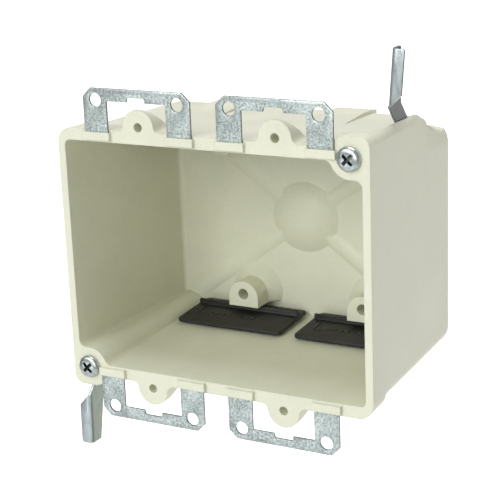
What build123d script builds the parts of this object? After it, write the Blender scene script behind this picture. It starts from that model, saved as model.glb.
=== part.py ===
from build123d import *
import os
from math import cos, radians, sin, tan

# A two-gang switch box for an existing wall: a moulded body open to the front, four sheet-metal
# ears on its rim, two screws that draw swinging wings against the back of the wall board, and
# four cable clamps by the back wall.
# X runs to the right, Y into the wall and Z up. The origin is the middle of the device-screw
# pattern on the front face of the rim. Lengths are millimetres and angles are degrees.
# The whole box is the same when it is turned half a turn about Y.

# Device screws, a wiring standard
gang_spacing = 46.04
device_spacing = 83.34
device_hole_d = 2.8

# Moulded body
rim_height = 80.4
rim_depth = 9.5
side_wall = 2.5
rim_band = 3.8
top_wall = 2.3
inner_depth = 64.0
back_wall = 2.5
draft = 1.5
plain_corner_radius = 5.0
screw_corner_radius = 8.0
back_edge_radius = 3.5
inside_corner_radius = 1.8
inside_back_radius = 1.6
rim_step_chamfer = 1.1

# Device lugs on the rim
lug_radius = 5.4
lug_foot_radius = 2.0
lug_lip = 1.0
lug_depth = 9.0

# Corners that hold the clamp screws
screw_inset = 6.2
screw_drop = 2.8
corner_top = 6.5
corner_depth = 5.0
corner_left = 6.2
corner_left_radius = 5.0
corner_foot_radius = 2.5
corner_right_radius = 3.4
column_radius = 6.2
column_foot_radius = 2.5
groove_radius = 4.0
groove_stop = 14.5
ridge_run = 31.0
ridge_turn = 0.3
ridge_stop = 2.5
ridge_sink = 0.4
ridge_taper_run = 3.0
ridge_taper_angle = 7.5
ridge_taper_lean = 6.7

# Clamp screws
screw_d = 4.16
screw_tip_gap = 2.0
screw_hole_gap = 0.22
head_d = 7.4
head_height = 2.0
head_crown = 0.6
head_top_d = 6.0
head_gap = 0.05
recess_length = 4.6
recess_width = 1.0
recess_depth = 1.3

# Swinging wings
wing_sheet = 0.9
wing_offset = 2.4
wing_reach = 28.5
wing_root_width = 8.2
wing_tip_width = 5.3
wing_lip = 4.0
wing_lip_cut = 3.6
wing_jog = 7.0
wing_jog_low = 4.9
wing_jog_high = 11.6
wing_fold_radius = 1.5
wing_inside_radius = 0.6
wing_tip_radius = 0.8
wing_base_drop = 1.5
wing_tab_radius = 3.4
wing_thread_gap = 0.05
wing_top_y = 18.7
wing_top_lean = 4.8
wing_bottom_y = 2.0
wing_bottom_lean = 1.0

# Ears
ear_width = 37.4
ear_screw_gap = 0.88
ear_sheet = 0.8
ear_front = 0.7
ear_clear = 2.13
ear_bar = 3.9
ear_leg = 8.3
ear_corner = 2.7
ear_hole_d = 4.2
ear_hole_inset = 4.4
ear_hole_drop = 3.7
ear_notch_width = 6.4
ear_notch_radius = 0.9
ear_notch_depth = 1.4
ear_seat = 2.0
ear_seat_gap = 0.05
pad_margin = 0.6
pad_front = 1.15
pad_low = 0.6
pad_high = 3.2

# Cable clamps and what holds them
clamp_between = 5.0
clamp_wall_gap = 5.2
clamp_column_gap = 11.4
clamp_sheet = 1.3
clamp_slope = 3.0
clamp_length = 21.3
clamp_back_gap = 1.7
clamp_rib_from_back = 6.0
clamp_rib_thickness = 1.4
clamp_rib_inset = 0.6
clamp_step_thickness = 2.8
clamp_step_height = 0.8
clamp_rib_height = 1.9
clamp_corner_radius = 1.8
clamp_gap = 0.15
post_width = 11.1
post_height = 8.9
post_length = 11.0
post_bottom_gap = 5.9
post_hole_d = 3.7
post_hole_drop = 4.5
post_hole_depth = 8.0
post_flare = 3.9
hood_width = 12.6
hood_length = 24.5
hood_ramp = 14.0
hood_tail = 3.0
hood_wall = 1.7
hood_lip = 0.4
slot_width = 9.8
slot_height = 4.7
slot_above_floor = 1.22
slot_length = 20.5
slot_ramp = 11.0

# Middle of the back wall
hub_radius = 12.1
hub_height = 3.6
dish_radius = 9.0
dish_depth = 2.2
flow_rib_radius = 5.6
flow_rib_height = 0.7
hub_seat = 1.0

# Sizes that follow from those above
slope = tan(radians(draft))
depth = inner_depth + back_wall
body_width = gang_spacing + ear_width + 2 * (ear_screw_gap + head_d / 2 + screw_inset)
half_width = body_width / 2
mouth_half_width = half_width - side_wall
clamp_row = 2 * mouth_half_width - clamp_wall_gap - clamp_column_gap
clamp_width = (clamp_row - clamp_between) / 2
clamp_pitch = clamp_width + clamp_between
clamp_shift = (clamp_column_gap - clamp_wall_gap) / 2
rim_half_height = rim_height / 2
mouth_half_height = rim_half_height - rim_band
wall_half_height = mouth_half_height + top_wall
screw_x = half_width - screw_inset
screw_z = rim_half_height - screw_drop
ridge_top = screw_z + corner_top
ridge_drop = corner_top + groove_radius + ridge_sink
groove_end = depth - groove_stop
ridge_end = depth - ridge_stop
ridge_flat = ridge_end - ridge_run
ridge_taper_start = ridge_flat - ridge_taper_run
screw_length = groove_end - screw_tip_gap
lug_z = device_spacing / 2
lug_top = lug_z + lug_radius
ear_reach = lug_top + ear_clear + ear_bar
clamp_back = inner_depth - clamp_back_gap
clamp_front = clamp_back - clamp_length
clamp_rib_y = clamp_back - clamp_rib_from_back
post_front = inner_depth - post_length
post_bottom_z = mouth_half_height - post_bottom_gap
clamp_pivot_z = post_bottom_z + clamp_gap + clamp_rib_thickness / 2
slot_high = mouth_half_height - slope * inner_depth - slot_above_floor
slot_low = slot_high + slot_height
slot_start = depth - slot_length
slot_full = slot_start + slot_ramp
hood_start = depth - hood_length
hood_full = hood_start + hood_ramp
hood_back = depth - hood_tail
hood_height = slot_low + hood_wall
beyond = 20.0


def across(y):
    """The plane across the box at depth y, with its normal to the front."""
    return Plane.XZ.offset(-y)


def prism(sketch, y_near, y_far):
    """A sketch in X and Z carried from one depth to another."""
    return extrude(across(y_far) * sketch, amount=y_far - y_near)


def side_prism(outline, x_low, x_high):
    """A closed outline in Y and Z carried from one X to another."""
    return extrude(Plane.YZ.offset(x_low) * outline, amount=x_high - x_low)


def block(x_low, x_high, y_low, y_high, z_low, z_high):
    """A plain block between two corners."""
    size = Box(x_high - x_low, y_high - y_low, z_high - z_low)
    return Pos((x_low + x_high) / 2, (y_low + y_high) / 2, (z_low + z_high) / 2) * size


def half_turn(solid):
    """The same solid at the opposite screw corner."""
    return Rot(0, 180, 0) * solid


def drafted_box(half_x, half_z, y_near, y_far):
    """A block that narrows to the back by the moulding draft; half sizes are those at Y = 0."""
    near_x = half_x - slope * y_near
    near_z = half_z - slope * y_near
    far_x = half_x - slope * y_far
    far_z = half_z - slope * y_far
    plan = Polyline((-near_x, y_near), (near_x, y_near), (far_x, y_far), (-far_x, y_far), close=True)
    side = Polyline((y_near, -near_z), (y_near, near_z), (y_far, far_z), (y_far, -far_z), close=True)
    tall = extrude(Plane.XY.offset(-near_z) * make_face(plan), amount=2 * near_z)
    return tall & side_prism(make_face(side), -near_x, near_x)


def depth_edges(solid, diagonal):
    """Edges from front to back: diagonal 1 is the screw corners, -1 the plain ones."""
    return [
        edge for edge in solid.edges()
        if abs((edge @ 1 - edge @ 0).Y) > 2 * abs((edge @ 1 - edge @ 0).X)
        and edge.center().X * edge.center().Z * diagonal > 0
    ]


def back_edges(solid):
    """The edges around the rear face."""
    return solid.faces().sort_by(Axis.Y)[-1].edges()


def outer_shell():
    """The drafted outside of the box behind the rim."""
    shell = drafted_box(half_width, wall_half_height, 0, depth)
    shell = fillet(depth_edges(shell, 1), screw_corner_radius)
    shell = fillet(depth_edges(shell, -1), plain_corner_radius)
    shell = fillet(back_edges(shell), back_edge_radius)
    rebate = screw_rebate()
    return shell - rebate - half_turn(rebate)


def groove_section():
    """The groove across the box: a round floor under an open slot."""
    open_part = Pos(screw_x, screw_z + beyond / 2) * Rectangle(2 * groove_radius, beyond)
    return Pos(screw_x, screw_z) * Circle(groove_radius) + open_part


def screw_rebate():
    """The lowered corner behind the end of a screw groove, open to the side and the back."""
    side = Pos(screw_x + beyond / 2, screw_z + (beyond - groove_radius) / 2)
    side = side * Rectangle(beyond, beyond + groove_radius)
    return prism(groove_section() + side, groove_end, depth + beyond)


def rim_band_solid():
    """The deeper band around the mouth, with a small ramp down to the wall at its back."""
    band = drafted_box(half_width, rim_half_height, 0, rim_depth)
    band = fillet(depth_edges(band, -1), plain_corner_radius)
    ramp_y = rim_depth - rim_step_chamfer
    ramp_z = rim_half_height - slope * ramp_y
    foot_z = ramp_z - rim_step_chamfer
    outline = Polyline(
        (-1, -rim_height),
        (-1, rim_height),
        (ramp_y, rim_height),
        (ramp_y, ramp_z),
        (rim_depth, foot_z),
        (rim_depth, -foot_z),
        (ramp_y, -ramp_z),
        (ramp_y, -rim_height),
        close=True,
    )
    return band & side_prism(make_face(outline), -body_width, body_width)


def rounded_foot(centre, radius, level, foot_radius):
    """Where a hollow corner leaves a level edge and where it meets a round head, to the left."""
    rise = level + foot_radius - centre[1]
    run = ((radius + foot_radius) ** 2 - rise ** 2) ** 0.5
    share = radius / (radius + foot_radius)
    foot = (centre[0] - run, level)
    touch = (centre[0] - run * share, centre[1] + rise * share)
    return foot, touch


def device_lug():
    """One half-round lug above the rim, gusseted to the rim behind it."""
    low = mouth_half_height + pad_low
    foot, touch = rounded_foot((0, lug_z), lug_radius, rim_half_height, lug_foot_radius)
    far_foot = (-foot[0], foot[1])
    far_touch = (-touch[0], touch[1])
    outline = [
        Line((foot[0], low), foot),
        TangentArc(foot, touch, tangent=(1, 0)),
        ThreePointArc(touch, (0, lug_top), far_touch),
        TangentArc(far_foot, far_touch, tangent=(-1, 0)),
        Line(far_foot, (-foot[0], low)),
        Line((-foot[0], low), (foot[0], low)),
    ]
    lug = prism(make_face(outline), 0, lug_depth)
    gusset = Polyline(
        (0, low),
        (0, lug_top),
        (lug_lip, lug_top),
        (lug_depth, rim_half_height),
        (lug_depth, low),
        close=True,
    )
    return lug & side_prism(make_face(gusset), -beyond, beyond)


def screw_corner():
    """The solid corner at the front that carries a clamp screw's head."""
    left = screw_x - corner_left
    low = mouth_half_height + pad_low
    round_x = left + corner_left_radius
    round_z = ridge_top - corner_left_radius
    foot, touch = rounded_foot(
        (round_x, round_z), corner_left_radius, rim_half_height, corner_foot_radius
    )
    right_round_x = half_width - corner_right_radius
    right_round_z = ridge_top - corner_right_radius
    outline = [
        Line((foot[0], low), foot),
        TangentArc(foot, touch, tangent=(1, 0)),
        TangentArc((round_x, ridge_top), touch, tangent=(-1, 0)),
        Line((round_x, ridge_top), (right_round_x, ridge_top)),
        TangentArc((right_round_x, ridge_top), (half_width, right_round_z), tangent=(1, 0)),
        Line((half_width, right_round_z), (half_width, low)),
        Line((half_width, low), (foot[0], low)),
    ]
    return prism(make_face(outline), 0, corner_depth)


def wing_ridge():
    """The side wall carried up beside the screw groove, dying away towards the back."""
    ridge_low = screw_z - screw_corner_radius
    middle = (ridge_flat + ridge_turn * ridge_run, ridge_top - ridge_turn * ridge_drop)
    crest_end = (ridge_flat, ridge_top)
    foot_end = (ridge_end, ridge_top - ridge_drop)
    outline = [
        Line((0, ridge_low), (0, ridge_top)),
        Line((0, ridge_top), crest_end),
        TangentArc(crest_end, middle, tangent=(1, 0)),
        TangentArc(foot_end, middle, tangent=(-1, 0)),
        Line(foot_end, (ridge_end, ridge_low)),
        Line((ridge_end, ridge_low), (0, ridge_low)),
    ]
    ridge = side_prism(make_face(outline), screw_x, half_width)
    ridge = ridge & drafted_box(half_width, ridge_top + beyond, 0, depth)
    crest = [
        edge for edge in ridge.edges()
        if edge.center().X > half_width - side_wall and edge.center().Z > ridge_low + 1
        and abs(edge.tangent_at(0.5).Y) > 0.3
    ]
    ridge = fillet(crest, corner_right_radius)
    taper_height = ridge_top - corner_right_radius
    taper_x = half_width - slope * ridge_taper_start
    taper = Pos(taper_x, ridge_taper_start, taper_height)
    taper = taper * Rot(0, -ridge_taper_lean, ridge_taper_angle)
    return ridge - taper * block(0, beyond, -beyond, 2 * beyond, -2 * beyond, beyond)


def screw_column(outside):
    """The rounded column inside the mouth that wraps a screw groove, from front to back."""
    top_foot, top_touch = rounded_foot(
        (screw_x, -screw_z), column_radius, -mouth_half_height, column_foot_radius
    )
    side_foot, side_touch = rounded_foot(
        (screw_z, -screw_x), column_radius, -mouth_half_width, column_foot_radius
    )
    top_start = (top_foot[0], mouth_half_height)
    top_end = (top_touch[0], -top_touch[1])
    side_start = (mouth_half_width, side_foot[0])
    side_end = (-side_touch[1], side_touch[0])
    lean = column_radius * cos(radians(45))
    nearest = (screw_x - lean, screw_z - lean)
    outline = [
        TangentArc(top_start, top_end, tangent=(1, 0)),
        ThreePointArc(top_end, nearest, side_end),
        TangentArc(side_start, side_end, tangent=(0, 1)),
        Line(side_start, (half_width, side_start[1])),
        Line((half_width, side_start[1]), (half_width, ridge_top)),
        Line((half_width, ridge_top), (top_start[0], ridge_top)),
        Line((top_start[0], ridge_top), top_start),
    ]
    return prism(make_face(outline), 0, inner_depth + back_wall / 4) & outside


def screw_groove():
    """The round-bottomed groove for a screw and its wing, open to the outside."""
    hole = Pos(screw_x, screw_z) * Circle(screw_d / 2 + screw_hole_gap)
    groove = prism(groove_section(), corner_depth, groove_end)
    return groove + prism(hole, -beyond, corner_depth)


def mouth_hollow():
    """The drafted hollow that takes the devices and wires."""
    hollow = drafted_box(mouth_half_width, mouth_half_height, -beyond, inner_depth)
    rear = fillet(depth_edges(hollow, 1) + depth_edges(hollow, -1), inside_corner_radius)
    return fillet(back_edges(rear), inside_back_radius)


def leg_centres():
    """X of every ear leg."""
    offset = (ear_width - ear_leg) / 2
    return [gang + side * offset for gang in gang_centres() for side in (-1, 1)]


def gang_centres():
    """X of the two gangs."""
    return [-gang_spacing / 2, gang_spacing / 2]


def ear_pads():
    """The raised pads moulded over the roots of the upper ears' legs."""
    pads = Part()
    for leg_x in leg_centres():
        half = ear_leg / 2 + pad_margin
        low = mouth_half_height + pad_low
        high = mouth_half_height + pad_high
        pads += block(leg_x - half, leg_x + half, -pad_front, rim_band / 2, low, high)
    return pads


def ear_seats():
    """The pockets in the rim that the upper ears' legs stand in."""
    seats = Part()
    for leg_x in leg_centres():
        half = ear_leg / 2 + ear_seat_gap
        front = -ear_front - ear_seat_gap
        back = ear_sheet - ear_front + ear_seat_gap
        low = rim_half_height - ear_seat - ear_seat_gap
        seats += block(leg_x - half, leg_x + half, front, back, low, rim_half_height + beyond)
    return seats


def clamp_centres():
    """X of the two lower cable clamps, set clear of the screw column on the left."""
    return [clamp_shift - clamp_pitch / 2, clamp_shift + clamp_pitch / 2]


def clamp_post(clamp_x):
    """A post on the back wall that holds a lower cable clamp down, with a flared foot."""
    round_radius = post_width / 2
    post_top = post_height - post_bottom_z
    round_z = post_top - round_radius
    left = clamp_x - round_radius
    right = clamp_x + round_radius
    outline = [
        Line((left, -post_bottom_z), (left, round_z)),
        ThreePointArc((left, round_z), (clamp_x, post_top), (right, round_z)),
        Line((right, round_z), (right, -post_bottom_z)),
        Line((right, -post_bottom_z), (left, -post_bottom_z)),
    ]
    seat = back_wall / 4
    post = prism(make_face(outline), post_front, inner_depth + seat)
    flare_front = inner_depth - post_flare
    spread = post_flare + seat
    cone = Rot(90, 0, 0) * Cone(round_radius + spread, round_radius, spread)
    cone = Pos(clamp_x, flare_front + spread / 2, round_z) * cone
    kept = block(
        left - beyond, right + beyond,
        flare_front - 1, depth,
        -post_bottom_z, post_top + beyond,
    )
    post += cone & kept
    hole = Pos(clamp_x, post_top - post_hole_drop) * Circle(post_hole_d / 2)
    return post - prism(hole, post_front - 1, post_front + post_hole_depth)


def cable_hood(clamp_x):
    """A ramp on the outside of the lower wall that makes room for a cable behind a clamp."""
    start_z = -wall_half_height + slope * hood_start
    inside_z = 1 - mouth_half_height + slope * depth
    outline = Polyline(
        (hood_start, inside_z),
        (hood_start, start_z),
        (hood_full, -hood_height),
        (hood_back, -hood_height),
        (depth, -slot_low - hood_lip),
        (depth, inside_z),
        close=True,
    )
    half = hood_width / 2
    return side_prism(make_face(outline), clamp_x - half, clamp_x + half)


def cable_slot(clamp_x):
    """The way in for a cable, under a lower clamp's tail and through the back wall."""
    floor_z = -mouth_half_height + slope * slot_start
    outline = Polyline(
        (slot_start, floor_z),
        (slot_full, -slot_low),
        (depth + beyond, -slot_low),
        (depth + beyond, -slot_high),
        (slot_start, -slot_high),
        close=True,
    )
    half = slot_width / 2
    return side_prism(make_face(outline), clamp_x - half, clamp_x + half)


def cap(radius, height):
    """A shallow round dome that stands height proud of the plane Y = 0, on a short stub."""
    ball_radius = (radius ** 2 + height ** 2) / (2 * height)
    ball = Pos(0, ball_radius - height, 0) * Sphere(ball_radius)
    return ball & prism(Circle(radius), -height - 1, hub_seat)


def flow_ribs():
    """Four low rounded ribs from the hub to the corners of the back wall."""
    corner_x = mouth_half_width - slope * inner_depth
    corner_z = mouth_half_height - slope * inner_depth
    angle = Vector(corner_x, corner_z, 0).get_angle(Vector(1, 0, 0))
    half_length = (corner_x ** 2 + corner_z ** 2) ** 0.5
    centre_y = inner_depth - flow_rib_height + flow_rib_radius
    bar = Rot(0, 90, 0) * Cylinder(flow_rib_radius, 2 * half_length)
    ribs = Part()
    for turn in (angle, -angle):
        ribs += Pos(0, centre_y, 0) * Rot(0, turn, 0) * bar
    low_y = inner_depth - flow_rib_radius
    room = block(-corner_x, corner_x, low_y, inner_depth + hub_seat, -corner_z, corner_z)
    rebate = screw_rebate()
    return (ribs & room) - rebate - half_turn(rebate)


def box_body():
    """The one-piece moulded body."""
    upper = ear_pads()
    for gang_x in gang_centres():
        upper += Pos(gang_x, 0, 0) * device_lug()
    lower_hoods = Part()
    for clamp_x in clamp_centres():
        lower_hoods += cable_hood(clamp_x)
    corner = screw_corner() + wing_ridge()
    corner = corner & drafted_box(half_width, ridge_top + beyond, 0, depth)
    outside = outer_shell() + rim_band_solid()
    for feature in (upper, lower_hoods, corner):
        outside = outside + feature + half_turn(feature)
    column = screw_column(outside)
    body = outside - mouth_hollow() + column + half_turn(column)
    body += Pos(0, inner_depth, 0) * cap(hub_radius, hub_height)
    body += flow_ribs()
    posts = Part()
    for clamp_x in clamp_centres():
        posts += clamp_post(clamp_x)
    body += posts
    body += half_turn(posts)
    cuts = screw_groove() + ear_seats()
    for clamp_x in clamp_centres():
        cuts += cable_slot(clamp_x)
    for gang_x in gang_centres():
        hole = Pos(gang_x, device_spacing / 2) * Circle(device_hole_d / 2)
        cuts += prism(hole, -beyond, beyond)
    body = body - cuts - half_turn(cuts)
    return body - prism(Circle(dish_radius), depth - dish_depth, depth + 1)


def ear(gang_x):
    """One upper ear: a U of sheet standing in the rim, with two holes in its far corners."""
    root = rim_half_height - ear_seat
    plate = Pos(0, (root + ear_reach) / 2) * Rectangle(ear_width, ear_reach - root)
    far_corners = [corner for corner in plate.vertices() if corner.Y > ear_reach - 0.01]
    plate = chamfer(far_corners, ear_corner)
    opening_top = ear_reach - ear_bar
    opening_width = ear_width - 2 * ear_leg
    opening = Pos(0, (root + opening_top) / 2) * Rectangle(opening_width, opening_top - root)
    notch = Pos(0, opening_top) * Rectangle(ear_notch_width, 2 * ear_notch_depth)
    notch_corners = [corner for corner in notch.vertices() if corner.Y > opening_top]
    opening = opening + fillet(notch_corners, ear_notch_radius)
    holes = Sketch()
    hole_x = ear_width / 2 - ear_hole_inset
    for side in (-1, 1):
        holes += Pos(side * hole_x, ear_reach - ear_hole_drop) * Circle(ear_hole_d / 2)
    sheet = prism(plate - opening - holes, -ear_front, ear_sheet - ear_front)
    return Pos(gang_x, 0, 0) * sheet


def clamp_screw():
    """The upper clamp screw: pan head with a crossed recess and a plain shank."""
    under = -head_gap
    crown_y = under - head_height
    side_y = crown_y + head_crown
    radius = head_d / 2
    profile = Polyline(
        (0, crown_y),
        (head_top_d / 2, crown_y),
        (radius, side_y),
        (radius, under),
        (0, under),
        close=True,
    )
    head = revolve(make_face(profile), Axis.Y)
    shank = Polyline(
        (0, under),
        (screw_d / 2, under),
        (screw_d / 2, screw_length),
        (0, screw_length),
        close=True,
    )
    screw = head + revolve(make_face(shank), Axis.Y)
    floor_y = crown_y + recess_depth
    for turn in (45, 135):
        arm = block(
            -recess_length / 2, recess_length / 2,
            crown_y - 1, floor_y,
            -recess_width / 2, recess_width / 2,
        )
        screw -= Rot(0, turn, 0) * arm
    return Pos(screw_x, 0, screw_z) * screw


def clamp_wing(front_y, lean):
    """A folded sheet wing on the upper screw: tapped tab, jogged strip and stiffening lip."""
    inner = wing_offset
    base_front = front_y + wing_jog
    base_back = base_front + wing_root_width
    strip = Polyline(
        (base_front, -wing_base_drop),
        (base_front, wing_jog_low),
        (front_y, wing_jog_high),
        (front_y, wing_reach),
        (front_y + wing_tip_width, wing_reach),
        (front_y + wing_root_width, wing_jog_high),
        (base_back, wing_jog_low),
        (base_back, -wing_base_drop),
        close=True,
    )
    wing = side_prism(make_face(strip), inner, inner + wing_sheet)
    lip_start = wing_jog_high
    lip = Polyline(
        (inner, lip_start),
        (inner + wing_sheet, lip_start),
        (inner + wing_lip, lip_start + wing_lip_cut),
        (inner + wing_lip, wing_reach),
        (inner, wing_reach),
        close=True,
    )
    lip_face = make_face(lip)
    tip = lip_face.vertices().sort_by_distance((inner + wing_lip, wing_reach))[0]
    lip_face = fillet(tip, wing_tip_radius)
    hem = front_y + wing_fold_radius + wing_sheet
    fold = Polyline(
        (inner, front_y),
        (inner + wing_lip, front_y),
        (inner + wing_lip, front_y + wing_sheet),
        (inner + wing_sheet, front_y + wing_sheet),
        (inner + wing_sheet, hem),
        (inner, hem),
        close=True,
    )
    section = make_face(fold)
    inside = (inner + wing_sheet, front_y + wing_sheet)
    for corner, radius in ((inside, wing_inside_radius), ((inner, front_y), wing_fold_radius)):
        section = fillet(section.vertices().sort_by_distance(corner)[0], radius)
    folded = Pos(0, 0, lip_start) * extrude(section, wing_reach - lip_start)
    wing -= block(inner - 1, inner + wing_sheet + 1, front_y - 1, hem, lip_start, wing_reach + 1)
    wing += folded & prism(lip_face, front_y - 1, hem + 1)
    tab = Circle(wing_tab_radius)
    bridge_height = wing_tab_radius
    bridge = Pos((inner + wing_sheet) / 2, 0) * Rectangle(inner + wing_sheet, bridge_height)
    wing += prism(tab + bridge, base_front, base_front + wing_sheet)
    bore = Circle(screw_d / 2 + wing_thread_gap)
    wing -= prism(bore, -beyond, base_back + beyond)
    return Pos(screw_x, 0, screw_z) * Rot(0, lean, 0) * wing


def cable_clamp(clamp_x):
    """A lower cable clamp: a sloping plate with a stepped rib that bears under its post."""
    tilt = tan(radians(clamp_slope))
    rib_foot = -clamp_pivot_z + clamp_rib_thickness / 2 - clamp_rib_height

    def top_z(y):
        return rib_foot + tilt * (y - clamp_rib_y)

    plate_line = Polyline(
        (clamp_front, top_z(clamp_front)),
        (clamp_back, top_z(clamp_back)),
        (clamp_back, top_z(clamp_back) - clamp_sheet),
        (clamp_front, top_z(clamp_front) - clamp_sheet),
        close=True,
    )
    half = clamp_width / 2
    plate = side_prism(make_face(plate_line), -half, half)
    corners = plate.edges().filter_by(Axis.Z)
    plate = fillet(corners, clamp_corner_radius)
    rib_half = half - clamp_rib_inset
    step_front = clamp_rib_y - clamp_rib_thickness / 2
    step_top = rib_foot + clamp_step_height
    plate += block(
        -rib_half, rib_half,
        step_front, step_front + clamp_step_thickness,
        rib_foot - clamp_sheet / 2, step_top,
    )
    rib_low = rib_foot - clamp_sheet / 2
    plate += block(
        -rib_half, rib_half,
        step_front, step_front + clamp_rib_thickness,
        rib_low, -clamp_pivot_z,
    )
    crest = Rot(0, 90, 0) * Cylinder(clamp_rib_thickness / 2, 2 * rib_half)
    plate += Pos(0, clamp_rib_y, -clamp_pivot_z) * crest
    return Pos(clamp_x, 0, 0) * plate


def all_nodes():
    """Every separate piece of the box, by name."""
    left, right = gang_centres()
    near_column, far_column = clamp_centres()
    return {
        "box_body": box_body(),
        "ear_top_left": ear(left),
        "ear_top_right": ear(right),
        "ear_bottom_left": half_turn(ear(right)),
        "ear_bottom_right": half_turn(ear(left)),
        "clamp_screw_top": clamp_screw(),
        "clamp_screw_bottom": half_turn(clamp_screw()),
        "clamp_wing_top": clamp_wing(wing_top_y, wing_top_lean),
        "clamp_wing_bottom": half_turn(clamp_wing(wing_bottom_y, wing_bottom_lean)),
        "cable_clamp_bottom_left": cable_clamp(near_column),
        "cable_clamp_bottom_right": cable_clamp(far_column),
        "cable_clamp_top_left": half_turn(cable_clamp(far_column)),
        "cable_clamp_top_right": half_turn(cable_clamp(near_column)),
    }


os.makedirs("parts", exist_ok=True)
for name, solid in all_nodes().items():
    export_step(solid, f"parts/{name}.step")
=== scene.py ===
from itertools import product
from math import cos, pi, radians, sin, tan

import bmesh
import bpy
from mathutils import Matrix, Vector


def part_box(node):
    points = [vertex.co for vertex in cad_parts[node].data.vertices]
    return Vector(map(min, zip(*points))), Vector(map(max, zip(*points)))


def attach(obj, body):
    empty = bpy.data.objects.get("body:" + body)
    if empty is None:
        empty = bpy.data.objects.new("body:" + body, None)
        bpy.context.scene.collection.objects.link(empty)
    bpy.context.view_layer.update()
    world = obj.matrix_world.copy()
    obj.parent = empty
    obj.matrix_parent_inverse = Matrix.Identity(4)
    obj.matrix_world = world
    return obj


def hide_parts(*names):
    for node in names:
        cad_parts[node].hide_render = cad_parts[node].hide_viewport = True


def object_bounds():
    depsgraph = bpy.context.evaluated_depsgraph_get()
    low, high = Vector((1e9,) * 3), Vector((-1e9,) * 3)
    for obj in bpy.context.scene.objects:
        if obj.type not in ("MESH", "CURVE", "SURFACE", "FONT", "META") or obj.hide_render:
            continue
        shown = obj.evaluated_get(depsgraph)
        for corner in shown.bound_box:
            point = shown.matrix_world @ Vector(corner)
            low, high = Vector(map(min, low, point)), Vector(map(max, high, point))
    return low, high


bl_info = {
    "name": "Switch Box",
    "version": (1, 0, 0),
    "blender": (4, 5, 0),
    "location": "View3D > Sidebar > Switch Box",
    "description": "Dresses a two-gang switch box: moulding, ears, screws, wings and cable clamps",
    "category": "Object",
}

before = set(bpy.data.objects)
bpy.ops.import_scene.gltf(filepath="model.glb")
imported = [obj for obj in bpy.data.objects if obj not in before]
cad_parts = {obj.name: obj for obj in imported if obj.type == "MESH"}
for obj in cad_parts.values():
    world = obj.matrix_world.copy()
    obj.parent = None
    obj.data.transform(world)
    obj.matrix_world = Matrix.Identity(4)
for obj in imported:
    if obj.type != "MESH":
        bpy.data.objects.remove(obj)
CAD_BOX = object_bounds()
MM = 0.001

# The photograph's camera, fitted to the box: angles in degrees, lengths in metres.
VIEW_AZIMUTH = 28.985
VIEW_ELEVATION = 16.276
VIEW_ROLL = -2.214
VIEW_SHIFT = Vector((-0.011718, 0.005892, 0.44387))
# Its focal length over the picture's width, both in pixels, and a sensor's width in millimetres.
VIEW_FOCUS = 1485.468 / 500
VIEW_SENSOR = 36.0

# The outer face of the upper and lower walls: its height at the rim's plane, and its draft.
WALL_HEIGHT = 38.7 * MM
DRAFT = tan(radians(1.5))

# The two rows of screws and wings.
ROWS = ("top", "bottom")

# Corners of a mesh that are closer than the first are one. Slivers thinner than the second go.
WELD = 0.002 * MM
SLIVER = 0.0005 * MM


def linear(hex_colour):
    """An sRGB hex value as linear red, green and blue."""
    parts = [int(hex_colour[i:i + 2], 16) / 255 for i in (1, 3, 5)]
    return tuple(c / 12.92 if c <= 0.04045 else ((c + 0.055) / 1.055) ** 2.4 for c in parts)


def add(tree, kind, inputs=None, **settings):
    """Adds one node with its settings; each input is a value or a socket to link from."""
    node = tree.nodes.new(kind)
    for name, value in settings.items():
        setattr(node, name, value)
    for name, value in (inputs or {}).items():
        socket = node.inputs[name]
        if isinstance(value, bpy.types.NodeSocket):
            tree.links.new(value, socket)
        else:
            socket.default_value = value
    return node


def ramp_stops(node, stops):
    """Sets a colour ramp's stops, each a place and a linear colour."""
    elements = node.color_ramp.elements
    while len(elements) < len(stops):
        elements.new(0.5)
    for element, (place, colour) in zip(elements, stops):
        element.position = place
        element.color = (*colour, 1)


def shade(colour, factor):
    """A linear colour made lighter or darker."""
    return tuple(min(1.0, c * factor) for c in colour)


class MouldingSettings(bpy.types.PropertyGroup):
    """The moulded body and the cable clamps."""

    ivory: bpy.props.FloatVectorProperty(
        name="Ivory", description="Colour of the body's plastic",
        subtype="COLOR", size=3, min=0, max=1, default=linear("#E3E2CB"))
    black: bpy.props.FloatVectorProperty(
        name="Black", description="Colour of the cable clamps' plastic",
        subtype="COLOR", size=3, min=0, max=1, default=linear("#1F1E1B"))
    edge: bpy.props.FloatProperty(
        name="Edge", description="Width of the rounding on the moulding's edges",
        subtype="DISTANCE", unit="LENGTH", min=0, max=0.001, default=0.00045)
    mark_count: bpy.props.IntProperty(
        name="Marks", description="Raised bars in a row on each cable clamp",
        min=0, max=20, default=8)
    hood_share: bpy.props.FloatProperty(
        name="Hood height", description="Share of the cable hoods' height over the wall that shows",
        subtype="FACTOR", min=0.2, max=1, default=0.4)
    mark_height: bpy.props.FloatProperty(
        name="Mark height", description="How far the bars stand out of a clamp",
        subtype="DISTANCE", unit="LENGTH", min=0, max=0.001, default=0.00028)


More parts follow.
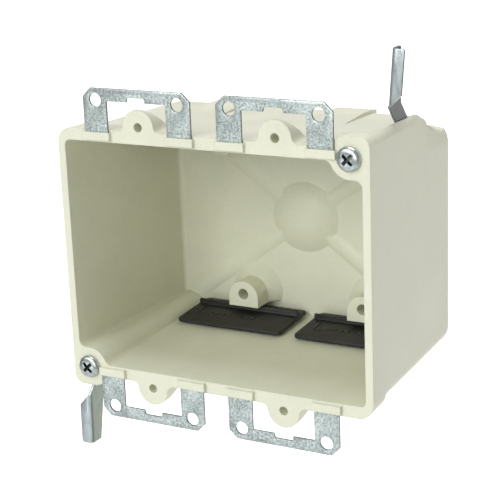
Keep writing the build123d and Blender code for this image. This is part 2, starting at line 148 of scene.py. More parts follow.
class MetalSettings(bpy.types.PropertyGroup):
    """The ears, the clamp screws and the wings."""

    galvanised: bpy.props.FloatVectorProperty(
        name="Galvanised", description="Colour of the ears' sheet",
        subtype="COLOR", size=3, min=0, max=1, default=linear("#BDC6C2"))
    sheared: bpy.props.FloatVectorProperty(
        name="Sheared edge", description="Colour of the ears' cut edges",
        subtype="COLOR", size=3, min=0, max=1, default=linear("#868D90"))
    zinc: bpy.props.FloatVectorProperty(
        name="Bright zinc", description="Colour of the clamp screws",
        subtype="COLOR", size=3, min=0, max=1, default=linear("#C2C9C6"))
    dull_zinc: bpy.props.FloatVectorProperty(
        name="Dull zinc", description="Colour of the wings",
        subtype="COLOR", size=3, min=0, max=1, default=linear("#C3CBCC"))
    # The wings' strip colours are painted shade: the strip's flats are darkened as a painted
    # reflection of the dim side of the room, the upper wing's darkest.
    dark_shade_strip_zinc: bpy.props.FloatVectorProperty(
        name="Strip shade, upper", description="Colour of the wings' strip beside its folded lip",
        subtype="COLOR", size=3, min=0, max=1, default=linear("#6B6D6C"))
    # The screws' recess colours are painted shade: the cross in each head is darkened where shade
    # falls, the lower screw's more than the upper's.
    recess: bpy.props.FloatVectorProperty(
        name="Dark recess shade", description="Colour of the cross in the lower screw's head",
        subtype="COLOR", size=3, min=0, max=1, default=linear("#3A3E3D"))
    pale_recess_shade: bpy.props.FloatVectorProperty(
        name="Pale recess shade", description="Colour of the cross in the upper screw's head",
        subtype="COLOR", size=3, min=0, max=1, default=linear("#6C7271"))
    # The lower wing's strip: the same painted shade, paler.
    pale_shade_strip_zinc: bpy.props.FloatVectorProperty(
        name="Strip shade, lower", description="Colour of the lower wing's strip, with paler painted shade",
        subtype="COLOR", size=3, min=0, max=1, default=linear("#8A9387"))
    edge: bpy.props.FloatProperty(
        name="Edge", description="Width of the rounding on the sheet's edges",
        subtype="DISTANCE", unit="LENGTH", min=0, max=0.0005, default=0.00012)
    pitch: bpy.props.FloatProperty(
        name="Pitch", description="Travel of the screws' thread in one turn",
        subtype="DISTANCE", unit="LENGTH", min=0.0004, max=0.003, default=0.00079)
    thread_depth: bpy.props.FloatProperty(
        name="Thread depth", description="Height of the thread from root to crest",
        subtype="DISTANCE", unit="LENGTH", min=0, max=0.001, default=0.00040)


class StageSettings(bpy.types.PropertyGroup):
    """The floor and the lights."""

    floor_size: bpy.props.FloatProperty(
        name="Floor", description="Length of the floor's sides",
        subtype="DISTANCE", unit="LENGTH", min=1, max=40, default=12.0)
    floor_gap: bpy.props.FloatProperty(
        name="Floor gap", description="Room between the floor and the lowest wing",
        subtype="DISTANCE", unit="LENGTH", min=0, max=2, default=0.6)
    floor_glow: bpy.props.FloatProperty(
        name="Floor glow", description="Light that the far part of the floor gives",
        min=0, max=5, default=1.1)
    fill: bpy.props.FloatProperty(
        name="Fill", description="Strength of the light from all round", min=0, max=5, default=0.35)


# Pieces' meshes -----------------------------------------------------------------------------------

def solid_copy(node):
    """A CAD node's mesh with its loose triangles joined."""
    work = bmesh.new()
    work.from_mesh(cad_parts[node].data)
    bmesh.ops.remove_doubles(work, verts=work.verts, dist=WELD)
    mesh = bpy.data.meshes.new(node)
    work.to_mesh(mesh)
    work.free()
    mesh.materials.clear()
    for stored in ("custom_normal", "sharp_face", "sharp_edge"):
        if stored in mesh.attributes:
            mesh.attributes.remove(mesh.attributes[stored])
    return mesh


def plain_mesh(thing):
    """The evaluated mesh of an object, as a mesh of its own, with the object removed."""
    graph = bpy.context.evaluated_depsgraph_get()
    mesh = bpy.data.meshes.new_from_object(
        thing.evaluated_get(graph), preserve_all_data_layers=True, depsgraph=graph)
    bpy.data.objects.remove(thing)
    return mesh


def linked(name, mesh):
    """A new object in the scene."""
    thing = bpy.data.objects.new(name, mesh)
    bpy.context.collection.objects.link(thing)
    return thing


def rounded(mesh, width, angle=32):
    """The mesh with its sharp edges rounded and its flats kept flat in the shading."""
    thing = linked("rounding", mesh)
    bevel = thing.modifiers.new("Edges", "BEVEL")
    bevel.width = width
    bevel.segments = 2
    bevel.limit_method = "ANGLE"
    bevel.angle_limit = radians(angle)
    bevel.use_clamp_overlap = False
    bevel.loop_slide = False
    mesh = plain_mesh(thing)
    smooth(mesh)
    return mesh


def even_flats(mesh):
    """Smooth shading in which large flats stay flat beside narrow curves."""
    smooth(mesh, angle=30)
    thing = linked("flats", mesh)
    weighted = thing.modifiers.new("Flats", "WEIGHTED_NORMAL")
    weighted.mode = "FACE_AREA"
    weighted.weight = 80
    weighted.keep_sharp = True
    return plain_mesh(thing)


def smooth(mesh, angle=38):
    """Smooth shading, apart from edges sharper than the angle."""
    mesh.shade_smooth()
    mesh.set_sharp_from_angle(angle=radians(angle))


def joined(name, *meshes):
    """Several meshes as one, with their materials kept."""
    materials = []
    work = bmesh.new()
    for mesh in meshes:
        first = len(work.faces)
        places = []
        for material in mesh.materials:
            if material not in materials:
                materials.append(material)
            places.append(materials.index(material))
        work.from_mesh(mesh)
        work.faces.ensure_lookup_table()
        for face in work.faces[first:]:
            face.material_index = places[face.material_index] if places else 0
    result = bpy.data.meshes.new(name)
    work.to_mesh(result)
    work.free()
    for material in materials:
        result.materials.append(material)
    return result


def finished(name, mesh, node, body):
    """Puts a piece in the scene in place of its CAD node."""
    mesh.name = name
    piece = linked(name, mesh)
    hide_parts(node)
    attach(piece, body)


# Materials ----------------------------------------------------------------------------------------

def new_material(name):
    """An empty material with its Principled shader and Object coordinates."""
    material = bpy.data.materials.get(name) or bpy.data.materials.new(name)
    material.use_nodes = True
    tree = material.node_tree
    tree.nodes.clear()
    shader = add(tree, "ShaderNodeBsdfPrincipled")
    add(tree, "ShaderNodeOutputMaterial", {"Surface": shader.outputs["BSDF"]})
    place = add(tree, "ShaderNodeTexCoord").outputs["Object"]
    return material, tree, shader, place


def ivory_polyester(settings):
    # Glass-filled polyester, press moulded: an even ivory with soft clouds where the filler flowed,
    # faint paler specks of glass, a satin skin with a slight orange peel, and soft edges.
    material, tree, shader, place = new_material("Ivory glass-filled polyester")
    ivory = tuple(settings.ivory)
    clouds = add(tree, "ShaderNodeTexNoise", {
        "Vector": place, "Scale": 1 / (14 * MM), "Detail": 4.0, "Roughness": 0.55})
    tone = add(tree, "ShaderNodeValToRGB", {"Fac": clouds.outputs["Fac"]})
    ramp_stops(tone, [(0.3, shade(ivory, 0.955)), (0.7, shade(ivory, 1.02))])
    specks = add(tree, "ShaderNodeTexNoise", {
        "Vector": place, "Scale": 1 / (0.9 * MM), "Detail": 2.0, "Roughness": 0.6})
    speck_tone = add(tree, "ShaderNodeValToRGB", {"Fac": specks.outputs["Fac"]})
    ramp_stops(speck_tone, [(0.35, (0.965, 0.965, 0.955)), (0.65, (1, 1, 1))])
    # Sockets 6, 7 and 2 of the Mix node are its colours A and B and its colour result.
    colour = add(tree, "ShaderNodeMix", {
        "Factor": 1.0, 6: tone.outputs["Color"], 7: speck_tone.outputs["Color"]},
        data_type="RGBA", blend_type="MULTIPLY")
    tree.links.new(colour.outputs[2], shader.inputs["Base Color"])
    gloss = add(tree, "ShaderNodeMapRange", {
        "Value": clouds.outputs["Fac"], "From Min": 0.3, "From Max": 0.7,
        "To Min": 0.38, "To Max": 0.5})
    tree.links.new(gloss.outputs["Result"], shader.inputs["Roughness"])
    peel = add(tree, "ShaderNodeTexNoise", {
        "Vector": place, "Scale": 1 / (2.2 * MM), "Detail": 3.0, "Roughness": 0.5})
    soft_edges = add(tree, "ShaderNodeBevel", {"Radius": settings.edge}, samples=6)
    bump = add(tree, "ShaderNodeBump", {
        "Strength": 0.25, "Distance": 0.05 * MM, "Height": peel.outputs["Fac"],
        "Normal": soft_edges.outputs["Normal"]})
    tree.links.new(bump.outputs["Normal"], shader.inputs["Normal"])
    shader.inputs["IOR"].default_value = 1.5
    return material


def galvanised_steel(settings):
    # Hot-dip galvanised sheet, stamped: bright zinc with fine dark specks, thicker in soft patches
    # a few millimetres wide. The specks are drawn 0.7 mm wide, coarser than real ones, so that they
    # show.
    material, tree, shader, place = new_material("Galvanised steel sheet")
    sheet = tuple(settings.galvanised)
    patches = add(tree, "ShaderNodeTexNoise", {
        "Vector": place, "Scale": 1 / (6 * MM), "Detail": 3.0, "Roughness": 0.55})
    grain = add(tree, "ShaderNodeTexNoise", {
        "Vector": place, "Scale": 1 / (0.7 * MM), "Detail": 3.0, "Roughness": 0.7})
    lean = add(tree, "ShaderNodeMath", {0: patches.outputs["Fac"], 1: 0.35}, operation="MULTIPLY")
    mixed = add(tree, "ShaderNodeMath", {
        0: grain.outputs["Fac"], 1: lean.outputs["Value"]}, operation="ADD")
    tone = add(tree, "ShaderNodeValToRGB", {"Fac": mixed.outputs["Value"]})
    ramp_stops(tone, [
        (0.54, shade(sheet, 0.56)), (0.66, shade(sheet, 0.94)), (0.8, shade(sheet, 1.3))])
    tree.links.new(tone.outputs["Color"], shader.inputs["Base Color"])
    gloss = add(tree, "ShaderNodeMapRange", {
        "Value": mixed.outputs["Value"], "From Min": 0.5, "From Max": 0.85,
        "To Min": 0.5, "To Max": 0.3})
    tree.links.new(gloss.outputs["Result"], shader.inputs["Roughness"])
    bump = add(tree, "ShaderNodeBump", {
        "Strength": 0.3, "Distance": 0.02 * MM, "Height": grain.outputs["Fac"]})
    tree.links.new(bump.outputs["Normal"], shader.inputs["Normal"])
    shader.inputs["Metallic"].default_value = 0.9
    return material


def sheared_steel(settings):
    # The same sheet where the die cut it: bare darker steel with fine drag lines across the
    # thickness. They are drawn 0.35 mm apart, coarser than real ones, so that they show.
    material, tree, shader, place = new_material("Sheared steel edge")
    cut = tuple(settings.sheared)
    turned = add(tree, "ShaderNodeMapping", {"Vector": place, "Scale": (1.0, 0.12, 1.0)})
    lines = add(tree, "ShaderNodeTexNoise", {
        "Vector": turned.outputs["Vector"], "Scale": 1 / (0.35 * MM), "Detail": 2.0})
    tone = add(tree, "ShaderNodeValToRGB", {"Fac": lines.outputs["Fac"]})
    ramp_stops(tone, [(0.3, shade(cut, 0.75)), (0.7, shade(cut, 1.25))])
    tree.links.new(tone.outputs["Color"], shader.inputs["Base Color"])
    shader.inputs["Metallic"].default_value = 0.8
    shader.inputs["Roughness"].default_value = 0.48
    return material


def bright_zinc(settings):
    # Zinc plate over a headed and rolled screw: bright, cool and slightly uneven.
    material, tree, shader, place = new_material("Bright zinc plate")
    zinc = tuple(settings.zinc)
    haze = add(tree, "ShaderNodeTexNoise", {
        "Vector": place, "Scale": 1 / (1.2 * MM), "Detail": 3.0})
    tone = add(tree, "ShaderNodeValToRGB", {"Fac": haze.outputs["Fac"]})
    ramp_stops(tone, [(0.3, shade(zinc, 0.8)), (0.7, shade(zinc, 1.1))])
    tree.links.new(tone.outputs["Color"], shader.inputs["Base Color"])
    gloss = add(tree, "ShaderNodeMapRange", {
        "Value": haze.outputs["Fac"], "To Min": 0.18, "To Max": 0.34})
    tree.links.new(gloss.outputs["Result"], shader.inputs["Roughness"])
    shader.inputs["Metallic"].default_value = 1.0
    return material


def dull_zinc(name, colour, roughness):
    # Pressed steel with a dull zinc coat: mottled blue-grey, drawn slightly along the strip. Darker
    # copies of it paint shade: on the flat of a wing beside its folded lip, as a painted reflection
    # of the dim side of the room, and in the recess of a screw.
    material, tree, shader, place = new_material(name)
    zinc = tuple(colour)
    drawn = add(tree, "ShaderNodeMapping", {"Vector": place, "Scale": (1.0, 1.0, 0.35)})
    mottle = add(tree, "ShaderNodeTexNoise", {
        "Vector": drawn.outputs["Vector"], "Scale": 1 / (1.1 * MM),
        "Detail": 4.0, "Roughness": 0.62})
    tone = add(tree, "ShaderNodeValToRGB", {"Fac": mottle.outputs["Fac"]})
    ramp_stops(tone, [(0.3, shade(zinc, 0.84)), (0.7, shade(zinc, 1.12))])
    tree.links.new(tone.outputs["Color"], shader.inputs["Base Color"])
    gloss = add(tree, "ShaderNodeMapRange", {
        "Value": mottle.outputs["Fac"],
        "To Min": roughness - 0.08, "To Max": roughness + 0.08})
    tree.links.new(gloss.outputs["Result"], shader.inputs["Roughness"])
    bump = add(tree, "ShaderNodeBump", {
        "Strength": 0.3, "Distance": 0.03 * MM, "Height": mottle.outputs["Fac"]})
    tree.links.new(bump.outputs["Normal"], shader.inputs["Normal"])
    shader.inputs["Metallic"].default_value = 1.0
    return material


def black_polypropylene(settings):
    # Polypropylene, injection moulded: soft black with a satin skin and faint paler flow streaks.
    # The skin's grit is drawn 0.5 mm wide, coarser than real grit, so that it shows.
    material, tree, shader, place = new_material("Black polypropylene")
    black = tuple(settings.black)
    streaks = add(tree, "ShaderNodeTexNoise", {
        "Vector": place, "Scale": 1 / (5 * MM), "Detail": 4.0, "Roughness": 0.6})
    tone = add(tree, "ShaderNodeValToRGB", {"Fac": streaks.outputs["Fac"]})
    ramp_stops(tone, [(0.3, shade(black, 0.8)), (0.7, shade(black, 1.25))])
    tree.links.new(tone.outputs["Color"], shader.inputs["Base Color"])
    grit = add(tree, "ShaderNodeTexNoise", {
        "Vector": place, "Scale": 1 / (0.5 * MM), "Detail": 2.0})
    gloss = add(tree, "ShaderNodeMapRange", {
        "Value": grit.outputs["Fac"], "To Min": 0.4, "To Max": 0.58})
    tree.links.new(gloss.outputs["Result"], shader.inputs["Roughness"])
    bump = add(tree, "ShaderNodeBump", {
        "Strength": 0.25, "Distance": 0.02 * MM, "Height": grit.outputs["Fac"]})
    tree.links.new(bump.outputs["Normal"], shader.inputs["Normal"])
    shader.inputs["IOR"].default_value = 1.49
    return material


def pale_paper(settings):
    # Matt paper, laid flat: an even white. Its far part gives light, as a lit backdrop does, so that
    # the picture's ground is white.
    material, tree, shader, place = new_material("Pale paper floor")
    shader.inputs["Base Color"].default_value = (*linear("#F3F3F3"), 1)
    shader.inputs["Roughness"].default_value = 0.9
    shader.inputs["Emission Color"].default_value = (1, 1, 1, 1)
    split = add(tree, "ShaderNodeSeparateXYZ", {"Vector": place})
    glow_start, glow_full = 0.3, 0.8
    glow = add(tree, "ShaderNodeMapRange", {
        "Value": split.outputs["Y"], "From Min": glow_start, "From Max": glow_full,
        "To Min": 0.0, "To Max": settings.floor_glow})
    tree.links.new(glow.outputs["Result"], shader.inputs["Emission Strength"])
    return material


# Geometry Nodes -----------------------------------------------------------------------------------

def new_tree(name, sizes):
    """An empty geometry tree with named inputs, each a socket type and its value."""
    tree = bpy.data.node_groups.new(name, "GeometryNodeTree")
    for label, (kind, value) in sizes.items():
        socket = tree.interface.new_socket(label, in_out="INPUT", socket_type=kind)
        if kind != "NodeSocketMaterial":
            socket.default_value = value
    tree.interface.new_socket("Geometry", in_out="OUTPUT", socket_type="NodeSocketGeometry")
    return tree, add(tree, "NodeGroupInput").outputs


def grown(tree, sizes):
    """The plain mesh that a geometry tree gives for these sizes."""
    thing = linked(tree.name, bpy.data.meshes.new(tree.name))
    modifier = thing.modifiers.new(tree.name, "NODES")
    modifier.node_group = tree
    for item in tree.interface.items_tree:
        if item.in_out == "INPUT":
            modifier[item.identifier] = sizes[item.name][1]
    return plain_mesh(thing)


def thread_tree(sizes):
    """A cylinder along Z whose radius follows a helix, with a bevelled tip."""
    tree, given = new_tree("Screw thread", sizes)
    rod = add(tree, "GeometryNodeMeshCylinder", {
        "Vertices": given["Sides"], "Side Segments": given["Rings"],
        "Radius": given["Radius"], "Depth": given["Length"]})
    lifted = add(tree, "ShaderNodeMath", {0: given["Length"], 1: 0.5}, operation="MULTIPLY")
    place = add(tree, "ShaderNodeSeparateXYZ", {
        "Vector": add(tree, "GeometryNodeInputPosition").outputs["Position"]})
    height = add(tree, "ShaderNodeMath", {
        0: place.outputs["Z"], 1: lifted.outputs["Value"]}, operation="ADD")
    around = add(tree, "ShaderNodeMath", {
        0: place.outputs["Y"], 1: place.outputs["X"]}, operation="ARCTAN2")
    part_turn = add(tree, "ShaderNodeMath", {
        0: around.outputs["Value"], 1: 2 * pi}, operation="DIVIDE")
    turns = add(tree, "ShaderNodeMath", {
        0: height.outputs["Value"], 1: given["Pitch"]}, operation="DIVIDE")
    phase = add(tree, "ShaderNodeMath", {
        0: turns.outputs["Value"], 1: part_turn.outputs["Value"]}, operation="SUBTRACT")
    saw = add(tree, "ShaderNodeMath", {0: phase.outputs["Value"], 1: 0.5}, operation="PINGPONG")
    # In shares of a pitch from the crest's middle: where the crest ends and where the root starts.
    crest_end, root_start = 0.06, 0.42
    flank = add(tree, "ShaderNodeMapRange", {
        "Value": saw.outputs["Value"], "From Min": crest_end, "From Max": root_start,
        "To Min": 0.0, "To Max": 1.0})
    cut = add(tree, "ShaderNodeMath", {
        0: flank.outputs["Result"], 1: given["Thread depth"]}, operation="MULTIPLY")
    wanted = add(tree, "ShaderNodeMath", {
        0: given["Radius"], 1: cut.outputs["Value"]}, operation="SUBTRACT")
    from_tip = add(tree, "ShaderNodeMath", {
        0: given["Length"], 1: height.outputs["Value"]}, operation="SUBTRACT")
    tip = add(tree, "ShaderNodeMath", {
        0: from_tip.outputs["Value"], 1: given["Tip radius"]}, operation="ADD")
    radius = add(tree, "ShaderNodeMath", {
        0: wanted.outputs["Value"], 1: tip.outputs["Value"]}, operation="MINIMUM")
    share = add(tree, "ShaderNodeMath", {
        0: radius.outputs["Value"], 1: given["Radius"]}, operation="DIVIDE")
    x = add(tree, "ShaderNodeMath", {
        0: place.outputs["X"], 1: share.outputs["Value"]}, operation="MULTIPLY")
    y = add(tree, "ShaderNodeMath", {
        0: place.outputs["Y"], 1: share.outputs["Value"]}, operation="MULTIPLY")
    moved = add(tree, "ShaderNodeCombineXYZ", {
        "X": x.outputs["Value"], "Y": y.outputs["Value"], "Z": height.outputs["Value"]})
    shaped = add(tree, "GeometryNodeSetPosition", {
        "Geometry": rod.outputs["Mesh"], "Position": moved.outputs["Vector"]})
    real = add(tree, "GeometryNodeRealizeInstances", {"Geometry": shaped.outputs["Geometry"]})
    coated = add(tree, "GeometryNodeSetMaterial", {
        "Geometry": real.outputs["Geometry"], "Material": given["Material"]})
    add(tree, "NodeGroupOutput", {"Geometry": coated.outputs["Geometry"]})
    return tree


def mark_tree(sizes):
    """A row of small raised bars along X."""
    tree, given = new_tree("Raised bars", sizes)
    row = add(tree, "GeometryNodeMeshLine", {
        "Count": given["Count"], "Start Location": given["Start"], "Offset": given["Step"]})
    bar = add(tree, "GeometryNodeMeshCube", {"Size": given["Bar"]})
    bars = add(tree, "GeometryNodeInstanceOnPoints", {
        "Points": row.outputs["Mesh"], "Instance": bar.outputs["Mesh"]})
    real = add(tree, "GeometryNodeRealizeInstances", {"Geometry": bars.outputs["Instances"]})
    coated = add(tree, "GeometryNodeSetMaterial", {
        "Geometry": real.outputs["Geometry"], "Material": given["Material"]})
    add(tree, "NodeGroupOutput", {"Geometry": coated.outputs["Geometry"]})
    return tree


# Shapes of the moulding and the screws ------------------------------------------------------------

def lower_hoods(mesh, share):
    """Brings the cable hoods down towards the drafted wall that they stand on."""
    # The hoods lie behind this front, and within this reach of the middle.
    front, reach = 41.5 * MM, 41.0 * MM
    for vertex in mesh.vertices:
        x, y, z = vertex.co
        above = abs(z) - (WALL_HEIGHT - DRAFT * y)
        if y > front and abs(x) < reach and above > 0:
            lowered = abs(z) - (1 - share) * above
            vertex.co.z = lowered if z > 0 else -lowered


def along(heights, step, place):
    """A smooth height through evenly spaced heights, at a place from the first one."""
    share, i = place / step, int(place / step)
    i = max(1, min(i, len(heights) - 3))
    t = share - i
    a, b, c, d = heights[i - 1:i + 3]
    return b + 0.5 * t * (c - a + t * (2 * a - 5 * b + 4 * c - d + t * (3 * (b - c) + d - a)))


def loft(work, sections):
    """Closes a row of outlines with equal counts into one solid."""
    rings = [[work.verts.new(corner) for corner in section] for section in sections]
    for a, b in zip(rings, rings[1:]):
        for i in range(len(a)):
            j = (i + 1) % len(a)
            work.faces.new((a[i], a[j], b[j], b[i]))
    work.faces.new(rings[0])
    work.faces.new(rings[-1])


def closed(name, work):
    """The mesh of a finished solid, faced outwards."""
    bmesh.ops.recalc_face_normals(work, faces=work.faces)
    mesh = bpy.data.meshes.new(name)
    work.to_mesh(mesh)
    work.free()
    return mesh


def ridge_tails():
    """The long fall behind each wing ridge: a wall by the screw groove, then a full shoulder."""
    # All in millimetres. The crest's height and rounding, from a first place back at even steps.
    tops = (43.2, 43.8, 44.1, 43.1, 40.75, 38.3, 36.8, 35.3, 34.25, 33.1, 32.2)
    radii = (3.4, 3.4, 3.4, 2.4, 1.6, 1.6, 2.0, 3.0, 3.4, 3.4, 3.4)
    tops_start, tops_step = 28.0, 4.0
    # The sections start inside the solid's crest. The first one past the groove's end is drawn
    # forward to it, so that the full shoulder starts sharply.
    first, step, count = 29.5, 0.5, 69
    groove_end, forward = 52.0, 0.4
    # The side wall's face, just inside the solid's, then the groove's wall and the screw's axis.
    side_wall, groove_wall, screw_axis = 52.48, 50.32, 46.3
    # Over a crease that drops backwards along the side wall, the fall leans inwards.
    crease_start, crease_top, crease_drop, crease_low, crease_gap = 36.0, 40.5, 1.05, 29.5, 0.05
    lean = 0.1
    # The rounding's points crowd towards the side wall, where it turns fastest.
    steps, crowding = 12, 1.5
    # The foot lies inside the solid.
    foot_top, knee_x, knee_z, foot_x, foot_z = 32.5, 49.3, 32.0, 50.3, 28.5
    work = bmesh.new()
    for side in (1, -1):
        sections = []
        for i in range(count):
            y = first + step * i
            if groove_end < y <= groove_end + step:
                y -= forward
            top = along(tops, tops_step, y - tops_start)
            radius = along(radii, tops_step, y - tops_start)
            outer = side_wall - DRAFT * y
            inner = groove_wall if y <= groove_end else screw_axis
            low = top - radius
            crease = crease_top - crease_drop * (y - crease_start)
            crease = max(crease_low, min(low - crease_gap, crease))
            start = outer - lean * (low - crease)
            outline = [(outer, foot_z), (outer, crease), (start, low)]
            for k in range(1, steps + 1):
                x = start - (start - inner) * (k / steps) ** crowding
                over = min(radius, start - x)
                outline.append((x, low + (radius ** 2 - (radius - over) ** 2) ** 0.5))
            outline += [(inner, foot_top), (max(inner, knee_x), knee_z), (foot_x, foot_z)]
            sections.append([(side * x * MM, y * MM, side * z * MM) for x, z in outline])
        loft(work, sections)
    return closed("ridge_tails", work)


def edge_cutter():
    """What is cleared above the rounded edge of each screw groove, on the wall's side."""
    edge_x, wide, tall = 42.5 * MM, 3.7 * MM, 3.2 * MM
    front, back = 16 * MM, 72 * MM
    beyond, above, steps = 3.0 * MM, 1.0 * MM, 10
    work = bmesh.new()
    for side in (1, -1):
        ends = []
        for y in (front, back):
            top = WALL_HEIGHT - DRAFT * y
            outline = [
                (edge_x + beyond, top - tall), (edge_x + beyond, top + above),
                (edge_x - wide, top + above)]
            for i in range(steps + 1):
                turn = pi / 2 * i / steps
                outline.append((edge_x - wide + wide * sin(turn), top - tall + tall * cos(turn)))
            ends.append([(side * x, y, side * z) for x, z in outline])
        loft(work, ends)
    return closed("edge_cutter", work)


def combined(mesh, other, operation):
    """The mesh with another closed mesh added to it or taken from it."""
    thing = linked("kept", mesh)
    tool = linked("tool", other)
    change = thing.modifiers.new("Change", "BOOLEAN")
    change.operation = operation
    change.solver = "EXACT"
    change.object = tool
    mesh = plain_mesh(thing)
    bpy.data.objects.remove(tool)
    # The cut leaves slivers too thin to shade, which are dissolved.
    work = bmesh.new()
    work.from_mesh(mesh)
    bmesh.ops.dissolve_degenerate(work, dist=SLIVER, edges=work.edges)
    work.to_mesh(mesh)
    work.free()
    return mesh


# The screws' head: its underside, its rounding and its sides.
HEAD_UNDER = -0.05 * MM
HEAD_EDGE = 0.08 * MM
HEAD_SIDES = 64
# From the crown's middle round to the underside's: shares of the radius and of the height.
HEAD_PROFILE = (
    (0.0, 0.0), (0.25, 0.01), (0.5, 0.045), (0.7, 0.115), (0.84, 0.22), (0.94, 0.37),
    (0.985, 0.55), (1.0, 0.74), (1.0, 0.9), (0.975, 0.98), (0.93, 1.0), (0.4, 1.0), (0.0, 1.0))
# The cross ahead of the crown and at its floor, in millimetres: depth, reach and half width.
HEAD_CROSS = ((-0.6, 2.55, 0.56), (1.5, 1.2, 0.30))


def screw_head(low, high):
    """A pan head with a crossed recess, turned on its screw's own axis."""
    centre = (low + high) / 2
    radius = (high.x - low.x) / 2
    crown = low.y
    work = bmesh.new()
    rings = []
    for share, fall in HEAD_PROFILE:
        y = crown + fall * (HEAD_UNDER - crown)
        ring = []
        for i in range(HEAD_SIDES if share else 1):
            turn = 2 * pi * i / HEAD_SIDES
            ring.append(work.verts.new((
                centre.x + share * radius * sin(turn), y, centre.z + share * radius * cos(turn))))
        rings.append(ring)
    for a, b in zip(rings, rings[1:]):
        for i in range(HEAD_SIDES):
            j = (i + 1) % HEAD_SIDES
            corners = [a[i % len(a)], b[i % len(b)], b[j % len(b)], a[j % len(a)]]
            work.faces.new(list(dict.fromkeys(corners)))
    head = closed("head", work)
    cross = bmesh.new()
    sections = []
    for depth, reach, half in HEAD_CROSS:
        middle = Vector((centre.x, crown + depth * MM, centre.z))
        section = []
        for quarter in range(4):
            spin = Matrix.Rotation(radians(45 + 90 * quarter), 3, "Y")
            for x, z in ((reach, -half), (reach, half), (half, half)):
                section.append(spin @ Vector((x * MM, 0, -z * MM)) + middle)
        sections.append(section)
    loft(cross, sections)
    return rounded(combined(head, closed("recess", cross), "DIFFERENCE"), HEAD_EDGE, angle=40)


# Camera and lights --------------------------------------------------------------------------------

def look_from(azimuth, elevation, roll):
    """The camera's right, down and forward axes."""
    a, e, r = radians(azimuth), radians(elevation), radians(roll)
    forward = -Vector((sin(a) * cos(e), -cos(a) * cos(e), sin(e)))
    right = forward.cross(Vector((0, 0, 1))).normalized()
    down = forward.cross(right)
    return right * cos(r) - down * sin(r), right * sin(r) + down * cos(r), forward


def area_light(name, place, size, power, colour):
    """A large soft light that points at the middle of the box."""
    light = bpy.data.lights.new(name, "AREA")
    light.shape = "RECTANGLE"
    light.size, light.size_y = size
    light.energy = power
    light.color = colour
    thing = linked(name, light)
    thing.location = place
    thing.rotation_euler = (LIGHT_AIM - Vector(place)).to_track_quat("-Z", "Y").to_euler()


LIGHT_AIM = Vector((0, 0.03, 0))
COOL = (0.94, 0.98, 1.0)
SKY = (0.91, 0.91, 1.0)
# Each light's name, place and size in metres, power in watts and colour.
LIGHTS = (
    ("front_left", (-0.9, -1.2, 0.9), (0.9, 0.9), 4.3, COOL),
    ("front_right", (0.9, -1.2, 0.9), (0.9, 0.9), 0.9, COOL),
    ("front_high", (-0.2, -1.4, 0.7), (0.6, 0.6), 8.6, COOL),
    ("front_low", (0.3, -1.5, 0.15), (0.6, 0.6), 3.9, COOL),
    ("low_left", (-0.75, -1.35, -0.42), (0.8, 0.4), 1.5, COOL),
    ("above", (0.0, 0.1, 1.5), (1.0, 1.0), 16.0, SKY),
)


# Operators ----------------------------------------------------------------------------------------

class SWITCHBOX_OT_body(bpy.types.Operator):
    """Makes the ivory moulding"""

    bl_idname = "switchbox.body"
    bl_label = "Moulded Body"

    def execute(self, context):
        settings = context.scene.switchbox_moulding
        mesh = solid_copy("box_body")
        lower_hoods(mesh, settings.hood_share)
        mesh = combined(mesh, edge_cutter(), "DIFFERENCE")
        mesh = even_flats(combined(mesh, ridge_tails(), "UNION"))
        mesh.materials.append(ivory_polyester(settings))
        finished("moulded_body", mesh, "box_body", "box")
        return {"FINISHED"}


# Share of a face's normal that looks across the sheet, past which it belongs to the sheet's flat.
EAR_FLAT = 0.5
WING_FLAT = 0.8


class SWITCHBOX_OT_ears(bpy.types.Operator):
    """Makes the four ears, with their cut edges darker than their faces"""

    bl_idname = "switchbox.ears"
    bl_label = "Ears"

    def execute(self, context):
        settings = context.scene.switchbox_metal
        sheet = galvanised_steel(settings)
        cut = sheared_steel(settings)
        for place in ("top_left", "top_right", "bottom_left", "bottom_right"):
            mesh = rounded(solid_copy(f"ear_{place}"), settings.edge)
            mesh.materials.append(sheet)
            mesh.materials.append(cut)
            for face in mesh.polygons:
                flat = abs(face.normal.y) > EAR_FLAT
                face.material_index = 0 if flat else 1
            finished(f"sheet_ear_{place}", mesh, f"ear_{place}", "box")
        return {"FINISHED"}


# The screws' thread: where it starts inside the head, its radius, the cut at its tip, and its mesh.
THREAD_START = -0.3 * MM
THREAD_RADIUS = 2.08 * MM
TIP_CUT = 1.2 * MM
THREAD_SIDES = 32
RINGS_PER_TURN = 8
# The recess in the head, which takes the painted shade: faces within the reach that are steep, or
# lie between the two depths.
RECESS_REACH = 2.5 * MM
RECESS_STEEP = 0.75
RECESS_BELOW_CROWN = 0.6 * MM
RECESS_FLOOR = -0.2 * MM


